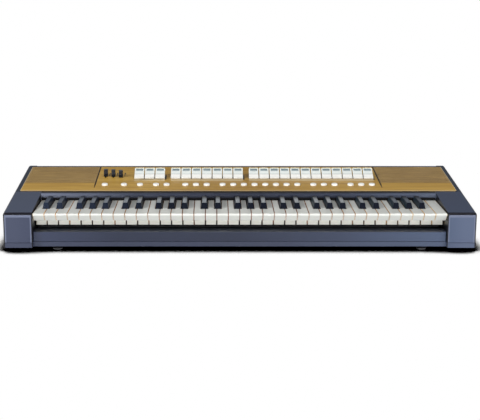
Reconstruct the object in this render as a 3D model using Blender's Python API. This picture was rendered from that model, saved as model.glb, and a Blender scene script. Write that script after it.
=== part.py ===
"""Portable electronic organ with one 61-key manual, built from its separate sub-parts.

Metres, +Z up. X runs along the keyboard to the player's right and Y to the back. The origin is on
the floor under the middle of the case. A depth is measured from the plane of the cheek fronts, a key
height from the top of the natural keys, and the panel has a sloping frame of its own.
"""
import math

import bmesh
import bpy
from mathutils import Matrix, Vector

# Clearances
SEAT_GAP = 0.0003
KEY_GAP = 0.001
SHARP_GAP = 0.001
END_GAP = 0.0015
SLIDING_GAP = 0.0005
SEAM_GAP = 0.0008

# Keyboard compass
OCTAVES = 5
FIRST_OCTAVE = 2
NATURALS = "cdefgab"

# Natural keys
KEY_PITCH = 0.0235
LIP_SETBACK = 0.001
HEAD_LENGTH = 0.0455
KEY_THICKNESS = 0.0035
LIP_DEPTH = 0.0172
LIP_BREAK = 0.0038
LIP_SLANT = 0.0130
LIP_THICKNESS = 0.003
NOSE_RADIUS = 0.0012
SKIRT_SETBACK = 0.042
SKIRT_THICKNESS = 0.0022
SKIRT_DEPTH = 0.033
SKIRT_RELIEF = 0.00085
CHANNEL_LENGTH = 0.028
CHANNEL_TAPER = 0.040
ARM_DEPTH = 0.0145
WALL = 0.0016
KEY_CHAMFER = 0.0005
FULCRUM_DEPTH = 0.204
TAIL_OVERHANG = 0.008
KEY_DIP = 0.010

# Sharp keys
SHARP_WIDTH = 0.0137
SHARP_TOP_WIDTH = 0.0100
SHARP_HEIGHT = 0.012
SHARP_LENGTH = 0.076
SHARP_FRONT_RAKE = 0.0035
SHARP_BACK_RAKE = 0.004
SHARP_ARM_WIDTH = 0.009
SHARP_ARM_DROP = 0.002
SHARP_CHAMFER = 0.0008
SPINE_SPACING = 0.021
SPINE_HALF = 0.006
ARCH_HALF = 0.0045
C_GROUP_SHARPS = (0.02115, 0.04935)
F_GROUP_SHARPS = (0.02014, 0.0470, 0.0739)

# Fulcrum ridges and the pressed chassis
RIDGE_RADIUS = 0.002
AXIS_DROP = 0.0105
WEB_THICKNESS = 0.002
CHASSIS_FRONT = 0.066
CHASSIS_BACK_MARGIN = 0.010
STOP_GAP = 0.0008

# Case
CHEEK_WIDTH = 0.0595
CASE_DEPTH = 0.350
FOOT_HEIGHT = 0.008
FOOT_RADIUS = 0.0128
FOOT_BASE_RADIUS = 0.0095
FOOT_INSET_X = 0.108
FOOT_RECESS = 0.001
FOOT_SIDES = 20
BOARD_THICKNESS = 0.010
CHEEK_HEIGHT = 0.0725
CHEEK_OVER_KEYS = 0.001
TOP_RISE = 0.035
CHEEK_ROUND = 0.0055
CHEEK_INNER_ROUND = 0.0015
END_WALL = 0.020
BACK_WALL = 0.010
BACK_INSET = 0.003
RAIL_SETBACK = 0.011
RAIL_TOP_DROP = 0.0404
RAIL_DEPTH = 0.031
RAIL_ROUND = 0.0015
RAIL_END_GAP = 0.0008

# Fallboard
FALLBOARD_FACE = 0.130
FALLBOARD_LIFT = 0.0012
NOSE_HEIGHT = 0.0145
FALLBOARD_ROUND = 0.004
FALLBOARD_WALL = 0.004
LEDGE_DEPTH = 0.014

# Panel
PANEL_FRONT = 0.150
PANEL_THICKNESS = 0.003
PANEL_PROUD = 0.001
PANEL_BORDER = 0.012
PANEL_BACK_BORDER = 0.014
PANEL_CORNER = 0.004
GROOVE_WIDTH = 0.0018
GROOVE_DEPTH = 0.0010
GROOVE_INSET = 0.158
GROOVE_FRONT = 0.024
SOUND_ROWS = 27
SOUND_COLUMNS = 1
SOUND_SLOT = 0.0015
SOUND_BRIDGE = 0.006
SOUND_MARGIN = 0.005
SOUND_FRONT = 0.064
SOUND_BACK_MARGIN = 0.006

# Stop tabs
TAB_PITCH = 0.02327
TAB_WIDTH = 0.0213
TAB_LENGTH = 0.034
TAB_THICKNESS = 0.0028
TAB_TILT = math.radians(24)
TAB_FRONT = 0.0862
TAB_LIFT = 0.0015
TAB_RECESS = 0.0009
TAB_BAND = 0.0055
TAB_RIM = 0.0026
TAB_CREASE = 0.45
TAB_CORNER = 0.0032
TAB_STEM = 0.003
TAB_SHAFT_RADIUS = 0.002
TAB_SHAFT_DROP = 0.0075
TAB_SLOT = 0.0125
TAB_INSET = 0.1798
TAB_BANKS = (("right", 12), ("middle", 7), ("left", 3))
BANK_SPACE = 0.5

# Pistons
PISTON_RADIUS = 0.0068
PISTON_HEIGHT = 0.003
PISTON_EDGE = 0.0008
PISTON_TRAVEL = 0.0025
PISTON_ROW = 0.0445
PISTON_PITCH = 0.02342
PISTON_INSET = 0.1778
PISTON_SIDES = 14
STRIP_THICKNESS = 0.003
STRIP_HALF_DEPTH = 0.010
PISTON_PLACES = {
    "right": (0, 1, 2, 3.5, 4.5, 5.5, 7, 8, 9, 10, 11, 12, 13, 14),
    "left": (15.5, 16.5, 17.5, 19.25, 20.25, 21.75, 23.25, 25.05),
}

# Slide controls
SLIDER_INSET = 0.1762
SLIDER_PITCH = 0.017
SLIDER_WIDTH = 0.0085
SLIDER_HEIGHT = 0.015
SLIDER_LENGTH = 0.016
SLIDER_TOP_LENGTH = 0.008
SLIDER_WAIST = 0.8
SLIDER_WAIST_HEIGHT = 0.35
SLIDER_STEM = 0.0024
SLIDER_STEM_LENGTH = 0.006
SLIDER_SLOT_FRONT = 0.099
SLIDER_SLOT_LENGTH = 0.050
SLIDER_REST = {"left": 0.0155, "middle": 0.0130, "right": 0.0080}
CARRIAGE_WIDTH = 0.012
CARRIAGE_LENGTH = 0.016
CARRIAGE_HEIGHT = 0.005

# Tab rail
SADDLE_THICKNESS = 0.003
SADDLE_HALF = 0.007
RAIL_BAR_DROP = 0.015
RAIL_BAR_THICKNESS = 0.002
SHAFT_REACH = 0.0055

# Loudspeakers
SPEAKER_INSET = 0.090
SPEAKER_CLEARANCE = 0.002
SPEAKER_RIM = 0.007
SPEAKER_DEPTH = 0.036
SPEAKER_FLANGE = 0.0025
CONE_WALL = 0.0012
COIL_RADIUS = 0.014
MAGNET_RADIUS = 0.023
MAGNET_HEIGHT = 0.011
SPEAKER_STEPS = 24

# Main board
PCB_WIDTH = 0.460
PCB_LENGTH = 0.082
PCB_THICKNESS = 0.0016
PCB_BACK_GAP = 0.003
STANDOFF = 0.006
STANDOFF_RADIUS = 0.003
STANDOFF_INSET = 0.012
STANDOFF_FRONT = 0.008
STANDOFF_BACK = 0.030
JACK_XS = (-0.190, -0.150, -0.110)
JACK_RADIUS = 0.0045
JACK_HOLE = 0.0052
JACK_RISE = 0.0115
JACK_BODY_HALF = 0.008
JACK_BODY_LENGTH = 0.020
JACK_BODY_RISE = 0.006
JACK_BARREL = 0.010
SOCKET_EDGE = 0.001
INLET_X = 0.180
INLET_WIDTH = 0.020
INLET_HEIGHT = 0.012
INLET_LENGTH = 0.022
CHIP_COUNT = 6
CHIP_FIRST_X = -0.075
CHIP_PITCH = 0.038
CHIP_HALF_WIDTH = 0.008
CHIP_LENGTH = 0.020
CHIP_HEIGHT = 0.004
CHIP_FRONT = 0.014
CAPACITOR_XS = (0.130, 0.150)
CAPACITOR_FRONT = 0.030
CAPACITOR_RADIUS = 0.006
CAPACITOR_HEIGHT = 0.014

# Derived places
KEYBOARD_WIDTH = (OCTAVES * len(NATURALS) + 1) * KEY_PITCH
CHEEK_INNER = KEYBOARD_WIDTH / 2 + END_GAP
HALF_WIDTH = CHEEK_INNER + CHEEK_WIDTH
FRONT_Y = -CASE_DEPTH / 2
BOARD_TOP = FOOT_HEIGHT + BOARD_THICKNESS
CHEEK_TOP = FOOT_HEIGHT + CHEEK_HEIGHT
KEY_PLANE = CHEEK_TOP - CHEEK_OVER_KEYS
SLOPE = TOP_RISE / CASE_DEPTH
SLOPE_ANGLE = math.atan(SLOPE)
LIP_Y = FRONT_Y + LIP_SETBACK
AXIS_Z = KEY_PLANE - AXIS_DROP
SHARP_FULCRUM = FULCRUM_DEPTH + SPINE_SPACING
NOTCH_RADIUS = RIDGE_RADIUS + SEAT_GAP
PANEL_HALF = HALF_WIDTH - PANEL_BORDER
LAST_TAB_X = PANEL_HALF - TAB_INSET
LAST_PISTON_X = PANEL_HALF - PISTON_INSET
FIRST_SLIDER_X = SLIDER_INSET - PANEL_HALF
PANEL_LENGTH = (CASE_DEPTH - PANEL_BACK_BORDER - PANEL_FRONT) / math.cos(SLOPE_ANGLE)
TAB_MIDDLE = TAB_FRONT + TAB_LENGTH / 2 * math.cos(TAB_TILT)
RAIL_TOP = KEY_PLANE - RAIL_TOP_DROP
FOOT_INSET_Y = RAIL_SETBACK + FOOT_RECESS + FOOT_RADIUS
CUT_MARGIN = 0.001
ROOM_FRONT = LIP_SETBACK + SHARP_FULCRUM + SPINE_HALF
ROOM_BACK = CASE_DEPTH - BACK_INSET - BACK_WALL
SPEAKER_RADIUS = (ROOM_BACK - ROOM_FRONT) / 2 - SPEAKER_CLEARANCE
SPEAKER_PLACE = ((ROOM_BACK + ROOM_FRONT) / 2 - PANEL_FRONT) / math.cos(SLOPE_ANGLE)
CONE_RADIUS = SPEAKER_RADIUS - SPEAKER_RIM

model = None
cutters = None


def top_height(depth):
    """Height of the sloping cheek top at a depth behind the cheek fronts."""
    return CHEEK_TOP + SLOPE * depth


def clear_scene():
    for thing in list(bpy.data.objects):
        bpy.data.objects.remove(thing, do_unlink=True)


def new_collection(name):
    collection = bpy.data.collections.new(name)
    bpy.context.scene.collection.children.link(collection)
    return collection


def finish_material(name, colour, roughness, metallic=0.0):
    """A plain Principled finish for one sub-part."""
    material = bpy.data.materials.new(name)
    material.use_nodes = True
    shader = material.node_tree.nodes["Principled BSDF"]
    shader.inputs["Base Color"].default_value = (*colour, 1.0)
    shader.inputs["Roughness"].default_value = roughness
    shader.inputs["Metallic"].default_value = metallic
    material.diffuse_color = (*colour, 1.0)
    return material


def to_mesh(bm, name):
    """Close off a bmesh as a mesh whose faces point out."""
    bmesh.ops.recalc_face_normals(bm, faces=bm.faces)
    mesh = bpy.data.meshes.new(name)
    bm.to_mesh(mesh)
    bm.free()
    return mesh


def add_prism(bm, outline, low, high, plane="yz"):
    """Extrude a flat outline in the YZ or XY plane from low to high along the third axis."""
    if plane == "yz":
        corners = [Vector((low, a, b)) for a, b in outline]
        step = Vector((1, 0, 0))
    else:
        corners = [Vector((a, b, low)) for a, b in outline]
        step = Vector((0, 0, 1))
    face = bm.faces.new([bm.verts.new(corner) for corner in corners])
    grown = bmesh.ops.extrude_face_region(bm, geom=[face])
    moved = [item for item in grown["geom"] if isinstance(item, bmesh.types.BMVert)]
    bmesh.ops.translate(bm, verts=moved, vec=step * (high - low))


def add_box(bm, low, high):
    """A box between two opposite corners."""
    low, high = Vector(low), Vector(high)
    size = high - low
    place = Matrix.Translation((low + high) / 2) @ Matrix.Diagonal((*size, 1.0))
    bmesh.ops.create_cube(bm, size=1.0, matrix=place)


def add_cylinder(bm, radius, low, high, centre, axis="Z", sides=16):
    """A cylinder along X, Y or Z from low to high, centred on the other two coordinates."""
    turn = {
        "Z": Matrix.Identity(4),
        "X": Matrix.Rotation(math.pi / 2, 4, "Y"),
        "Y": Matrix.Rotation(math.pi / 2, 4, "X"),
    }[axis]
    middle = (low + high) / 2
    place = {
        "Z": (centre[0], centre[1], middle),
        "X": (middle, centre[0], centre[1]),
        "Y": (centre[0], middle, centre[1]),
    }[axis]
    bmesh.ops.create_cone(bm, cap_ends=True, segments=sides, radius1=radius, radius2=radius,
                          depth=high - low, matrix=Matrix.Translation(place) @ turn)


def arc(centre, radius, start, end, steps):
    """Points on an arc, angles in degrees, both ends included."""
    points = []
    for step in range(steps + 1):
        angle = math.radians(start + (end - start) * step / steps)
        points.append((centre[0] + radius * math.cos(angle), centre[1] + radius * math.sin(angle)))
    return points


def prism_mesh(name, outline, low, high, plane="yz"):
    bm = bmesh.new()
    add_prism(bm, outline, low, high, plane)
    return to_mesh(bm, name)


def box_mesh(name, low, high):
    bm = bmesh.new()
    add_box(bm, low, high)
    return to_mesh(bm, name)


def carved(name, body, *steps):
    """The mesh left when each (operation, mesh) step has been worked on the body in turn."""
    worked = bpy.data.objects.new(name, body)
    cutters.objects.link(worked)
    tools = []
    for operation, tool_mesh in steps:
        tool = bpy.data.objects.new(tool_mesh.name, tool_mesh)
        cutters.objects.link(tool)
        tools.append(tool)
        modifier = worked.modifiers.new(operation.lower(), "BOOLEAN")
        modifier.operation = operation
        modifier.object = tool
    graph = bpy.context.evaluated_depsgraph_get()
    graph.update()
    result = bpy.data.meshes.new_from_object(worked.evaluated_get(graph))
    for thing in [worked, *tools]:
        bpy.data.objects.remove(thing, do_unlink=True)
    result.name = name
    return result


def chamfered(mesh, wanted, width, segments=1):
    """Bevel the edges that the test picks out by their two faces."""
    bm = bmesh.new()
    bm.from_mesh(mesh)
    bmesh.ops.dissolve_limit(bm, angle_limit=math.radians(0.5), verts=bm.verts, edges=bm.edges)
    chosen = [edge for edge in bm.edges if len(edge.link_faces) == 2 and wanted(edge)]
    bmesh.ops.bevel(bm, geom=chosen, offset=width, offset_type="OFFSET", segments=segments,
                    profile=0.5, affect="EDGES", clamp_overlap=True)
    return to_mesh(bm, mesh.name)


def top_rim(height):
    """An edge test: one face looks straight up at this height and the other stands upright."""
    def wanted(edge):
        level = all(abs(vertex.co.z - height) < 1e-5 for vertex in edge.verts)
        faces = edge.link_faces
        flat = [face for face in faces if face.normal.z > 0.99]
        upright = [face for face in faces if abs(face.normal.z) < 0.5]
        return level and len(flat) == 1 and len(upright) == 1
    return wanted


def place(name, mesh, material, location=(0, 0, 0), parent=None, smooth=False):
    """Add a finished mesh to the model as one named sub-part."""
    if smooth:
        mesh.shade_smooth()
        mesh.set_sharp_from_angle(angle=math.radians(35))
    part = bpy.data.objects.new(name, mesh)
    if not mesh.materials:
        mesh.materials.append(material)
    model.objects.link(part)
    part.location = location
    part.parent = parent
    return part


def natural_profile():
    """Side view of a natural: lip, top plate, skirt, tapering channel and fulcrum notch."""
    notch_floor = -ARM_DEPTH
    channel_end = SKIRT_SETBACK + CHANNEL_LENGTH
    outline = arc((NOSE_RADIUS, -NOSE_RADIUS), NOSE_RADIUS, 180, 90, 2)
    outline += [(FULCRUM_DEPTH + TAIL_OVERHANG, 0), (FULCRUM_DEPTH + TAIL_OVERHANG, notch_floor)]
    outline += [(FULCRUM_DEPTH + NOTCH_RADIUS / math.cos(math.pi / 8), notch_floor)]
    outline += arc((FULCRUM_DEPTH, -AXIS_DROP), NOTCH_RADIUS / math.cos(math.pi / 8), 0, 180, 4)
    outline += [(FULCRUM_DEPTH - NOTCH_RADIUS / math.cos(math.pi / 8), notch_floor)]
    outline += [(channel_end + CHANNEL_TAPER, notch_floor), (channel_end, -SKIRT_DEPTH)]
    outline += [(SKIRT_SETBACK, -SKIRT_DEPTH), (SKIRT_SETBACK, -KEY_THICKNESS)]
    outline += [(LIP_THICKNESS, -KEY_THICKNESS), (LIP_THICKNESS, -LIP_BREAK)]
    outline += [(LIP_SLANT + LIP_THICKNESS, -LIP_DEPTH), (LIP_SLANT, -LIP_DEPTH), (0, -LIP_BREAK)]
    return [(depth - FULCRUM_DEPTH, height + AXIS_DROP) for depth, height in outline]


def sharp_centres():
    """Sharps of one octave, measured from the left edge of its C."""
    f_left = 3 * KEY_PITCH
    return [*C_GROUP_SHARPS, *(f_left + place_x for place_x in F_GROUP_SHARPS)]


def tail_span(index):
    """Left and right side of a natural's tail in its own frame, between the sharps beside it."""
    left_edge = index * KEY_PITCH
    middle = left_edge + KEY_PITCH / 2
    half_slot = SHARP_WIDTH / 2 + SHARP_GAP
    left, right = left_edge + KEY_GAP / 2, left_edge + KEY_PITCH - KEY_GAP / 2
    for centre in sharp_centres():
        if left < centre < middle:
            left = centre + half_slot
        elif abs(centre - left_edge) < half_slot:
            left = max(left, centre + half_slot)
        if abs(centre - left_edge - KEY_PITCH) < half_slot:
            right = min(right, centre - half_slot)
    return left - middle, right - middle


def natural_mesh(name, span):
    """One natural: the side view cut to its plan, with the skirt narrowed and the tail hollowed."""
    half = KEY_PITCH / 2 - KEY_GAP / 2
    left, right = span
    front = -FULCRUM_DEPTH
    back = TAIL_OVERHANG
    head_back = front + HEAD_LENGTH
    margin = CUT_MARGIN
    plan = [(-half, front - margin), (half, front - margin), (half, head_back)]
    plan += [(right, head_back)] if right < half - margin else []
    plan += [(right, back + margin), (left, back + margin)]
    plan += [(left, head_back)] if left > -half + margin else []
    plan += [(-half, head_back)]
    below = AXIS_DROP - SKIRT_DEPTH - 0.01
    above = AXIS_DROP + margin
    skirt_front = front + SKIRT_SETBACK
    relief_top = AXIS_DROP - KEY_THICKNESS - margin
    relief = half - SKIRT_RELIEF
    relief_back = head_back if left > -half + margin else skirt_front + SKIRT_THICKNESS
    right_relief_back = head_back if right < half - margin else skirt_front + SKIRT_THICKNESS
    steps = [
        ("INTERSECT", prism_mesh("key_plan", plan, below, above, "xy")),
        ("DIFFERENCE", box_mesh("left_relief", (-half - margin, skirt_front - margin, below),
                                (-relief, relief_back + margin, relief_top))),
        ("DIFFERENCE", box_mesh("right_relief", (relief, skirt_front - margin, below),
                                (half + margin, right_relief_back + margin, relief_top))),
        ("DIFFERENCE", box_mesh("channel", (left + WALL + SKIRT_RELIEF,
                                            skirt_front + SKIRT_THICKNESS, below),
                                (right - WALL - SKIRT_RELIEF, -TAIL_OVERHANG,
                                 AXIS_DROP - KEY_THICKNESS))),
    ]
    body = prism_mesh("key_side", natural_profile(), -half - margin / 2, half + margin / 2)
    return chamfered(carved(name, body, *steps), top_rim(AXIS_DROP), KEY_CHAMFER)


def build_naturals():
    """Thirty-six naturals, each turning on the front ridge of the chassis."""
    ivory = finish_material("ivory_plastic", (0.86, 0.86, 0.80), 0.30)
    half = KEY_PITCH / 2 - KEY_GAP / 2
    meshes = {}
    for index, letter in enumerate(NATURALS):
        meshes[letter] = natural_mesh("natural_" + letter, tail_span(index))
    meshes["top"] = natural_mesh("natural_top", (-half, half))
    count = OCTAVES * len(NATURALS)
    for number in range(count + 1):
        letter = NATURALS[number % len(NATURALS)]
        octave = FIRST_OCTAVE + number // len(NATURALS)
        mesh = meshes["top"] if number == count else meshes[letter]
        x = -KEYBOARD_WIDTH / 2 + (number + 0.5) * KEY_PITCH
        place("key_{}{}".format(letter, octave), mesh, ivory,
              (x, LIP_Y + FULCRUM_DEPTH, AXIS_Z))


def add_sharp_cap(bm, centre):
    """A cap with raked ends, tapering from the level of the naturals to its narrow top."""
    front = HEAD_LENGTH + SHARP_GAP - SHARP_FULCRUM
    back = front + SHARP_LENGTH
    made = bmesh.ops.create_cube(bm, size=1.0)
    low, high = -ARM_DEPTH + AXIS_DROP, AXIS_DROP
    size = Vector((SHARP_WIDTH, SHARP_LENGTH, high - low))
    bmesh.ops.scale(bm, vec=size, verts=made["verts"])
    bmesh.ops.translate(bm, vec=Vector((centre, (front + back) / 2, (low + high) / 2)),
                        verts=made["verts"])
    top = max({face for vertex in made["verts"] for face in vertex.link_faces},
              key=lambda face: face.calc_center_median().z)
    grown = bmesh.ops.extrude_discrete_faces(bm, faces=[top])["faces"][0]
    half_top = SHARP_TOP_WIDTH / 2
    for vertex in grown.verts:
        vertex.co.z += SHARP_HEIGHT
        vertex.co.x = centre + math.copysign(half_top, vertex.co.x - centre)
        vertex.co.y += SHARP_FRONT_RAKE if vertex.co.y < (front + back) / 2 else -SHARP_BACK_RAKE


def sharps_mesh():
    """One moulded comb of five sharps: caps, arms and the spine that turns on the rear ridge."""
    centres = sharp_centres()
    octave_half = len(NATURALS) * KEY_PITCH / 2
    low, high = AXIS_DROP - ARM_DEPTH, AXIS_DROP - SHARP_ARM_DROP
    cap_middle = HEAD_LENGTH + SHARP_LENGTH / 2 - SHARP_FULCRUM
    spine_end = octave_half - KEY_GAP / 2
    outline = [(-spine_end, SPINE_HALF), (-spine_end, -SPINE_HALF)]
    for centre in centres:
        x = centre - octave_half
        left, right = x - SHARP_ARM_WIDTH / 2, x + SHARP_ARM_WIDTH / 2
        outline += [(left, -SPINE_HALF), (left, cap_middle), (right, cap_middle)]
        outline += [(right, -SPINE_HALF)]
    outline += [(spine_end, -SPINE_HALF), (spine_end, SPINE_HALF)]
    comb = prism_mesh("sharps_comb", outline, low, high, "xy")
    caps = bmesh.new()
    for centre in centres:
        add_sharp_cap(caps, centre - octave_half)
    notch = [(NOTCH_RADIUS, low - KEY_GAP)] + arc((0, 0), NOTCH_RADIUS, 0, 180, 6)
    notch += [(-NOTCH_RADIUS, low - KEY_GAP)]
    sag = SPINE_SPACING * KEY_DIP / (SHARP_FULCRUM - HEAD_LENGTH)
    arch = box_mesh("arch", (-octave_half, -SPINE_SPACING - ARCH_HALF, low - KEY_GAP),
                    (octave_half, -SPINE_SPACING + ARCH_HALF, RIDGE_RADIUS + sag + KEY_GAP))
    mesh = carved("sharps", comb, ("UNION", to_mesh(caps, "sharp_caps")),
                  ("DIFFERENCE", prism_mesh("spine_notch", notch, -octave_half, octave_half)),
                  ("DIFFERENCE", arch))
    return chamfered(mesh, top_rim(AXIS_DROP + SHARP_HEIGHT), SHARP_CHAMFER)


def build_sharps():
    """Five combs of sharps, one to an octave."""
    ebony = finish_material("ebony_plastic", (0.03, 0.03, 0.035), 0.30)
    mesh = sharps_mesh()
    octave_width = len(NATURALS) * KEY_PITCH
    for octave in range(OCTAVES):
        x = -KEYBOARD_WIDTH / 2 + (octave + 0.5) * octave_width
        place("sharps_octave_{}".format(FIRST_OCTAVE + octave), mesh, ebony,
              (x, LIP_Y + SHARP_FULCRUM, AXIS_Z))


def ridge(centre, floor):
    """Outline points of one fulcrum: a web with a round top, read from its back side to its front."""
    half = WEB_THICKNESS / 2
    neck = math.degrees(math.asin(half / RIDGE_RADIUS))
    top = arc((centre, AXIS_Z), RIDGE_RADIUS, -90 + neck, 270 - neck, 10)
    return [(centre + half, floor), *top, (centre - half, floor)]


def build_chassis():
    """Pressed keybed: a tray with a front stop flange and the two fulcrum ridges."""
    steel = finish_material("black_steel", (0.03, 0.03, 0.035), 0.50)
    low = BOARD_TOP + SEAT_GAP
    floor = low + WEB_THICKNESS
    front = FRONT_Y + CHASSIS_FRONT
    first = LIP_Y + FULCRUM_DEPTH
    second = LIP_Y + SHARP_FULCRUM
    back = second + CHASSIS_BACK_MARGIN
    reach = FULCRUM_DEPTH - (CHASSIS_FRONT - LIP_SETBACK)
    stop = KEY_PLANE - SKIRT_DEPTH - KEY_DIP * reach / FULCRUM_DEPTH - STOP_GAP
    outline = [(front, low), (back, low), (back, floor)]
    outline += ridge(second, floor) + ridge(first, floor)
    outline += [(front + WEB_THICKNESS, floor), (front + WEB_THICKNESS, stop), (front, stop)]
    half = KEYBOARD_WIDTH / 2 - KEY_GAP
    place("keybed_chassis", prism_mesh("keybed_chassis", outline, -half, half), steel)


def add_foot(bm, centre, spigot):
    """A tapered round foot, its top drawn in to a spigot that enters the board."""
    place_at = Matrix.Translation((*centre, FOOT_HEIGHT / 2))
    made = bmesh.ops.create_cone(bm, cap_ends=True, segments=FOOT_SIDES, radius1=FOOT_BASE_RADIUS,
                                 radius2=FOOT_RADIUS, depth=FOOT_HEIGHT, matrix=place_at)
    top = max({face for vertex in made["verts"] for face in vertex.link_faces},
              key=lambda face: face.calc_center_median().z)
    bmesh.ops.inset_individual(bm, faces=[top], thickness=FOOT_RADIUS - FOOT_BASE_RADIUS)
    bmesh.ops.translate(bm, verts=top.verts, vec=(0, 0, spigot))


def build_base():
    """Base board with the back wall and four tapered feet, cut back where the rail stands."""
    dark = finish_material("dark_lacquer", (0.085, 0.095, 0.14), 0.45)
    rail_y = FRONT_Y + RAIL_SETBACK
    back = -FRONT_Y
    outline = [(-HALF_WIDTH, back), (-HALF_WIDTH, FRONT_Y), (-CHEEK_INNER, FRONT_Y)]
    outline += [(-CHEEK_INNER, rail_y), (CHEEK_INNER, rail_y), (CHEEK_INNER, FRONT_Y)]
    outline += [(HALF_WIDTH, FRONT_Y), (HALF_WIDTH, back)]
    board = prism_mesh("base_case", outline, FOOT_HEIGHT, BOARD_TOP, "xy")
    wall_back = back - BACK_INSET
    wall_half = HALF_WIDTH - END_WALL - SEAT_GAP
    under_panel = PANEL_PROUD - PANEL_THICKNESS - SEAT_GAP
    wall_depth = CASE_DEPTH - BACK_INSET
    wall_top = top_height(wall_depth - BACK_WALL) + under_panel
    overlap = BOARD_THICKNESS / 2
    wall = [(wall_back - BACK_WALL, BOARD_TOP - overlap), (wall_back, BOARD_TOP - overlap)]
    lip_depth = CASE_DEPTH - PANEL_BACK_BORDER + SEAT_GAP
    lip_front = FRONT_Y + lip_depth
    wall += [(wall_back, top_height(wall_depth)), (lip_front, top_height(lip_depth))]
    wall += [(lip_front, top_height(lip_depth) + under_panel), (wall_back - BACK_WALL, wall_top)]
    feet = bmesh.new()
    for x in (-1, 1):
        for y in (-1, 1):
            centre = (x * (HALF_WIDTH - FOOT_INSET_X), y * (CASE_DEPTH / 2 - FOOT_INSET_Y))
            add_foot(feet, centre, overlap)
    holes = bmesh.new()
    jack_z = BOARD_TOP + JACK_RISE
    for x in JACK_XS:
        add_cylinder(holes, JACK_HOLE, wall_back - 2 * BACK_WALL, wall_back + BACK_WALL,
                     (x, jack_z), "Y", 12)
    add_box(holes, (INLET_X - INLET_WIDTH / 2, wall_back - 2 * BACK_WALL, jack_z - INLET_HEIGHT / 2),
            (INLET_X + INLET_WIDTH / 2, wall_back + BACK_WALL, jack_z + INLET_HEIGHT / 2))
    mesh = carved("base_case", board,
                  ("UNION", prism_mesh("back_wall", wall, -wall_half, wall_half)),
                  ("UNION", to_mesh(feet, "feet")), ("DIFFERENCE", to_mesh(holes, "sockets")))
    place("base_case", mesh, dark)


def cheek_mesh():
    """Right cheek: a block beside the keys and a thin end wall behind, rebated for the panel."""
    low = BOARD_TOP + SEAM_GAP
    back = -FRONT_Y
    profile = [(FRONT_Y, low), (back, low), (back, top_height(CASE_DEPTH)), (FRONT_Y, CHEEK_TOP)]
    body = prism_mesh("cheek", profile, CHEEK_INNER, HALF_WIDTH)

    def outside(edge):
        ends = [vertex.co for vertex in edge.verts]
        front_top = all(abs(end.y - FRONT_Y) < 1e-6 and end.z > CHEEK_TOP - 1e-6 for end in ends)
        outer = all(abs(end.x - HALF_WIDTH) < 1e-6 for end in ends)
        return front_top or (outer and any(end.z > low + 1e-6 for end in ends))

    def inner_upright(edge):
        upright = abs(edge.verts[0].co.z - edge.verts[1].co.z) > CHEEK_HEIGHT / 2
        return upright and all(abs(v.co.x - CHEEK_INNER) < 1e-6 and v.co.y < 0 for v in edge.verts)

    rounded = chamfered(body, outside, CHEEK_ROUND, 4)
    rounded = chamfered(rounded, inner_upright, CHEEK_INNER_ROUND, 2)
    step = FRONT_Y + PANEL_FRONT - SEAT_GAP
    inner = HALF_WIDTH - END_WALL
    margin = CHEEK_ROUND
    room = box_mesh("cabinet_room", (CHEEK_INNER - margin, step + LEDGE_DEPTH, low - margin),
                    (inner, back + margin, top_height(CASE_DEPTH) + margin))
    drop = PANEL_PROUD - PANEL_THICKNESS - SEAT_GAP
    panel_back = CASE_DEPTH - PANEL_BACK_BORDER + SEAT_GAP
    rebate = [(step, top_height(PANEL_FRONT) + drop), (step, top_height(CASE_DEPTH) + margin)]
    rebate += [(FRONT_Y + panel_back, top_height(CASE_DEPTH) + margin)]
    rebate += [(FRONT_Y + panel_back, top_height(panel_back) + drop)]
    seat = prism_mesh("panel_seat", rebate, CHEEK_INNER - margin, PANEL_HALF + SEAT_GAP)
    return carved("right_cheek", rounded, ("DIFFERENCE", room), ("DIFFERENCE", seat))


def build_cheeks():
    """The right cheek and its mirror image."""
    dark = finish_material("cheek_lacquer", (0.10, 0.115, 0.17), 0.42)
    right = cheek_mesh()
    place("right_cheek", right, dark, smooth=True)
    mirrored = bmesh.new()
    mirrored.from_mesh(right)
    bmesh.ops.scale(mirrored, vec=Vector((-1, 1, 1)), verts=mirrored.verts)
    bmesh.ops.reverse_faces(mirrored, faces=mirrored.faces)
    place("left_cheek", to_mesh(mirrored, "left_cheek"), dark, smooth=True)


def build_front_rail():
    """Batten below the key fronts, its top front edge rounded."""
    dark = finish_material("rail_lacquer", (0.10, 0.115, 0.17), 0.42)
    front = FRONT_Y + RAIL_SETBACK
    back = front + RAIL_DEPTH
    low = BOARD_TOP + SEAM_GAP
    outline = [(front, low), (back, low), (back, RAIL_TOP)]
    outline += arc((front + RAIL_ROUND, RAIL_TOP - RAIL_ROUND), RAIL_ROUND, 90, 180, 3)
    half = CHEEK_INNER - RAIL_END_GAP
    place("front_rail", prism_mesh("front_rail", outline, -half, half), dark)


def build_fallboard():
    """Moulded strip behind the keys: upright face, round nose, top and a ledge under the panel."""
    dark = finish_material("fallboard_plastic", (0.09, 0.10, 0.135), 0.35)
    face = FRONT_Y + FALLBOARD_FACE
    low = KEY_PLANE + FALLBOARD_LIFT
    nose = KEY_PLANE + NOSE_HEIGHT
    panel_y = FRONT_Y + PANEL_FRONT - SEAT_GAP
    top = top_height(PANEL_FRONT)
    ledge = top_height(PANEL_FRONT) + PANEL_PROUD - PANEL_THICKNESS - SEAT_GAP
    ledge_back = panel_y + LEDGE_DEPTH - SEAT_GAP
    outline = [(face, low)]
    outline += arc((face + FALLBOARD_ROUND, nose - FALLBOARD_ROUND), FALLBOARD_ROUND, 180, 90, 4)
    outline += [(panel_y, top), (panel_y, ledge), (ledge_back, ledge + SLOPE * LEDGE_DEPTH)]
    outline += [(ledge_back, ledge - FALLBOARD_WALL), (panel_y - FALLBOARD_WALL, ledge - FALLBOARD_WALL)]
    outline += [(face + FALLBOARD_WALL, low)]
    half = CHEEK_INNER - SEAT_GAP
    place("fallboard", prism_mesh("fallboard", outline, -half, half), dark)


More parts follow.
